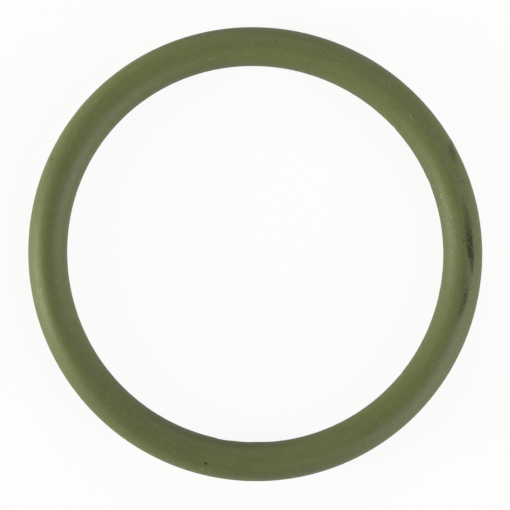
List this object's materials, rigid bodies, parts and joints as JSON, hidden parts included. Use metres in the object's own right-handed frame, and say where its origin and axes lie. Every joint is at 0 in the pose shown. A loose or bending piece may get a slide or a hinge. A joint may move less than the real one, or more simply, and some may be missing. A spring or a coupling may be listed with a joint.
{
  "type": "o-ring",
  "caption": "Soft moulded rubber o-ring of round section, with a fine line of trimmed flash inside and out, that seals a joint when squeezed in its groove.",
  "frame": {"origin": "centre of the ring, on its mid plane", "axes": "+Z along the ring's axis, up from the surface it lies on; X and Y across the ring, with +X to the right and +Y up in the picture"},
  "size_m": [0.0356, 0.0356, 0.003],
  "materials": {
    "rubber": "satin olive green moulded rubber, fine grain, with a few dark scuffs and specks"
  },
  "bodies": {
    "root": {"o_ring": "rubber"}
  },
  "joints": []
}
